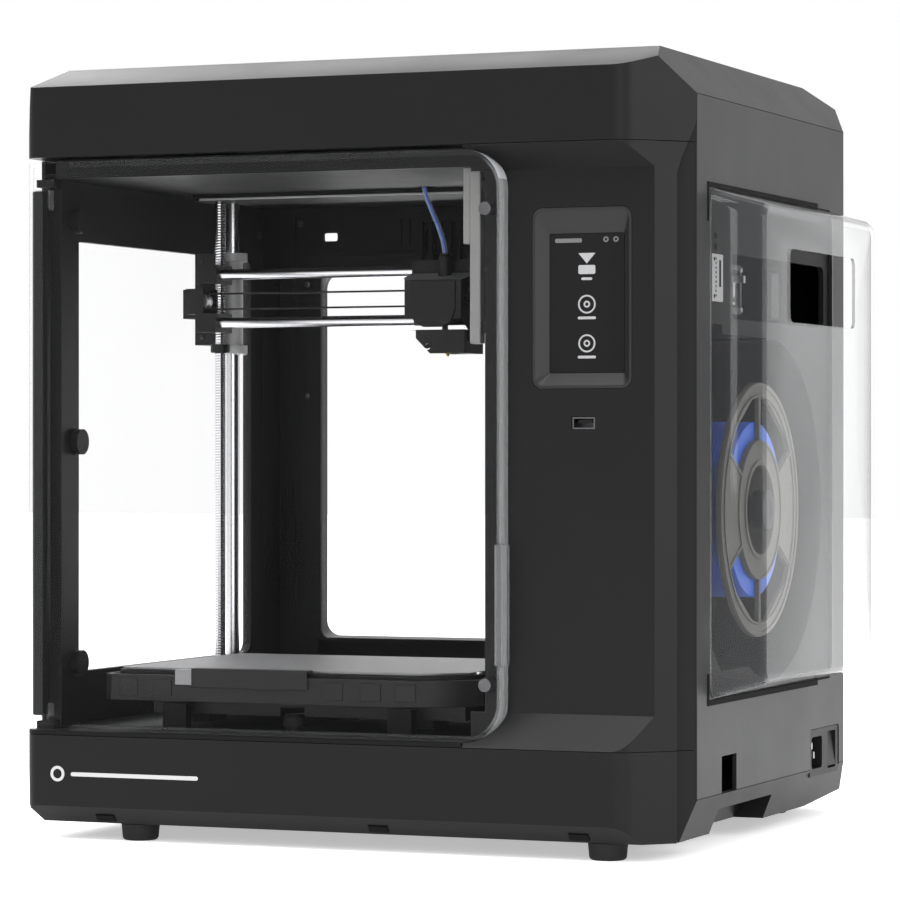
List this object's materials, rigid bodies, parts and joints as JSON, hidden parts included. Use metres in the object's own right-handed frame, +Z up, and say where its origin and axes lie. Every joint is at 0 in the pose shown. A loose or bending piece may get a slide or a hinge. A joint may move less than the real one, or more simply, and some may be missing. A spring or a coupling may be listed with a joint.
{
  "type": "desktop filament printer",
  "caption": "Enclosed desktop filament printer with a clear front door, touch screen, moving bed, rising gantry, print head and a spool bay behind a clear side cover.",
  "frame": {"origin": "middle of the footprint, on the surface the feet stand on", "axes": "+Z up, -Y out of the front door and screen, +X to the side that carries the spool cover"},
  "size_m": [0.518, 0.44, 0.54],
  "materials": {
    "shell_plastic": "satin fine texture",
    "inner_plastic": "matt",
    "side_plastic": "satin fine texture",
    "clear_plastic": "clear polished",
    "tinted_clear_plastic": "lightly smoked, polished",
    "black_plastic": "matt",
    "grey_plastic": "matt",
    "motor_metal": "black paint",
    "steel": "brushed",
    "polished_steel": "ground and polished",
    "brass": "machined",
    "screen_glass": "dark gloss",
    "rubber": "matt",
    "case_aluminium": "satin",
    "plate_steel": "fine textured coating",
    "board": "solder mask",
    "light_diffuser": "translucent white",
    "magnet": "dark plated",
    "spool_plastic": "satin",
    "filament": "satin"
  },
  "bodies": {
    "frame": {"base_tray": "shell_plastic", "base_deck": "inner_plastic", "top_cover": "shell_plastic", "front_panel": "shell_plastic", "hinge_post": "shell_plastic", "left_side_panel": "shell_plastic", "left_window": "clear_plastic", "right_side_panel": "side_plastic", "rear_panel": "shell_plastic", "chamber_rear_wall": "inner_plastic", "rear_window": "clear_plastic", "chamber_ceiling": "inner_plastic", "column_wall": "inner_plastic", "spool_bay": "inner_plastic", "spool_spindle": "black_plastic", "filament_feeder": "grey_plastic", "feeder_motor": "motor_metal", "screen_bezel": "shell_plastic", "touch_screen": "screen_glass", "usb_port": "steel", "power_inlet": "black_plastic", "rubber_feet": "rubber", "power_supply": "case_aluminium", "main_board": "board", "z_motors": "motor_metal", "z_rods": "polished_steel", "bed_rods": "polished_steel", "bed_motor": "motor_metal", "bed_belt": "rubber", "exhaust_filter": "inner_plastic", "light_bar": "light_diffuser", "filament_tube": "filament", "shell_screws": "steel"},
    "z_screw_left": {"z_screw_left": "polished_steel"},
    "z_screw_right": {"z_screw_right": "polished_steel"},
    "gantry": {"left_carriage": "black_plastic", "right_carriage": "black_plastic", "gantry_rods": "polished_steel", "gantry_motor": "motor_metal", "gantry_belt": "rubber"},
    "gantry_drive": {"gantry_pulley": "steel"},
    "gantry_return": {"gantry_idler": "steel"},
    "head": {"print_head": "black_plastic", "hot_end": "brass"},
    "head_fan": {"head_fan_rotor": "black_plastic"},
    "bed": {"bed_carrier": "black_plastic", "heated_bed": "case_aluminium", "build_plate": "plate_steel"},
    "bed_drive": {"bed_pulley": "steel"},
    "exhaust_fan": {"exhaust_rotor": "inner_plastic"},
    "feed_gear": {"drive_gear": "brass"},
    "feed_lever": {"idler_lever": "steel"},
    "feed_roller": {"idler_bearing": "steel"},
    "rocker": {"power_switch": "black_plastic"},
    "door": {"door_panel": "clear_plastic", "door_handle": "clear_plastic", "door_magnets": "magnet"},
    "cover": {"spool_cover": "tinted_clear_plastic"},
    "reel": {"spool": "spool_plastic", "filament_winding": "filament"}
  },
  "joints": [
    {"name": "gantry_lift", "type": "slide", "parent": "frame", "child": "gantry", "axis": [0, 0, 1], "range_m": [-0.218, 0.034], "deforming": ["filament_tube"]},
    {"name": "left_screw_turn", "type": "hinge", "parent": "frame", "child": "z_screw_left", "pos_m": [-0.217, 0.008, 0.06], "axis": [0, 0, 1], "range_deg": [-9900, 1600]},
    {"name": "right_screw_turn", "type": "hinge", "parent": "frame", "child": "z_screw_right", "pos_m": [0.074, 0.008, 0.06], "axis": [0, 0, 1], "range_deg": [-9900, 1600]},
    {"name": "head_slide", "type": "slide", "parent": "gantry", "child": "head", "axis": [1, 0, 0], "range_m": [-0.147, 0.053]},
    {"name": "gantry_pulley_turn", "type": "hinge", "parent": "gantry", "child": "gantry_drive", "pos_m": [0.059, -0.004, 0.382], "axis": [0, 1, 0], "range_deg": [-620, 1680]},
    {"name": "gantry_idler_turn", "type": "hinge", "parent": "gantry", "child": "gantry_return", "pos_m": [-0.226, -0.004, 0.382], "axis": [0, 1, 0], "range_deg": [-620, 1680]},
    {"name": "head_fan_spin", "type": "hinge", "parent": "head", "child": "head_fan", "pos_m": [-0.008, -0.02, 0.381], "axis": [1, 0, 0], "continuous": true},
    {"name": "bed_slide", "type": "slide", "parent": "frame", "child": "bed", "axis": [0, 1, 0], "range_m": [0, 0.2]},
    {"name": "bed_pulley_turn", "type": "hinge", "parent": "frame", "child": "bed_drive", "pos_m": [-0.072, 0.183, 0.084], "axis": [0, 0, 1], "range_deg": [-20, 1850]},
    {"name": "exhaust_fan_spin", "type": "hinge", "parent": "frame", "child": "exhaust_fan", "pos_m": [-0.058, 0.173, 0.434], "axis": [0, 1, 0], "continuous": true},
    {"name": "feed_gear_turn", "type": "hinge", "parent": "frame", "child": "feed_gear", "pos_m": [0.196, -0.074, 0.383], "axis": [1, 0, 0], "continuous": true},
    {"name": "feed_lever_swing", "type": "hinge", "parent": "frame", "child": "feed_lever", "pos_m": [0.203, -0.0485, 0.3755], "axis": [1, 0, 0], "range_deg": [-10, 0], "stiffness_Nm_per_rad": 1, "springref_deg": 2.86},
    {"name": "feed_roller_turn", "type": "hinge", "parent": "feed_lever", "child": "feed_roller", "pos_m": [0.196, -0.0594, 0.383], "axis": [1, 0, 0], "continuous": true},
    {"name": "power_rocker", "type": "hinge", "parent": "frame", "child": "rocker", "pos_m": [0.217, 0.13, 0.0515], "axis": [0, 1, 0], "range_deg": [0, 14]},
    {"name": "door_swing", "type": "hinge", "parent": "frame", "child": "door", "pos_m": [-0.2515, -0.203, 0.27], "axis": [0, 0, -1], "range_deg": [0, 100]},
    {"name": "cover_swing", "type": "hinge", "parent": "frame", "child": "cover", "pos_m": [0.2246, 0, 0.1058], "axis": [0, 1, 0], "range_deg": [0, 75]},
    {"name": "spool_turn", "type": "hinge", "parent": "frame", "child": "reel", "pos_m": [0.185, -0.02, 0.2295], "axis": [1, 0, 0], "continuous": true}
  ],
  "couplings": [
    {"joint": "left_screw_turn", "follows": "gantry_lift", "rad_per_m": 785.4},
    {"joint": "right_screw_turn", "follows": "gantry_lift", "rad_per_m": 785.4},
    {"joint": "gantry_pulley_turn", "follows": "head_slide", "rad_per_m": -196.08},
    {"joint": "gantry_idler_turn", "follows": "head_slide", "rad_per_m": -196.08},
    {"joint": "bed_pulley_turn", "follows": "bed_slide", "rad_per_m": 156.25},
    {"joint": "feed_roller_turn", "follows": "feed_gear_turn", "ratio": -0.92308}
  ]
}
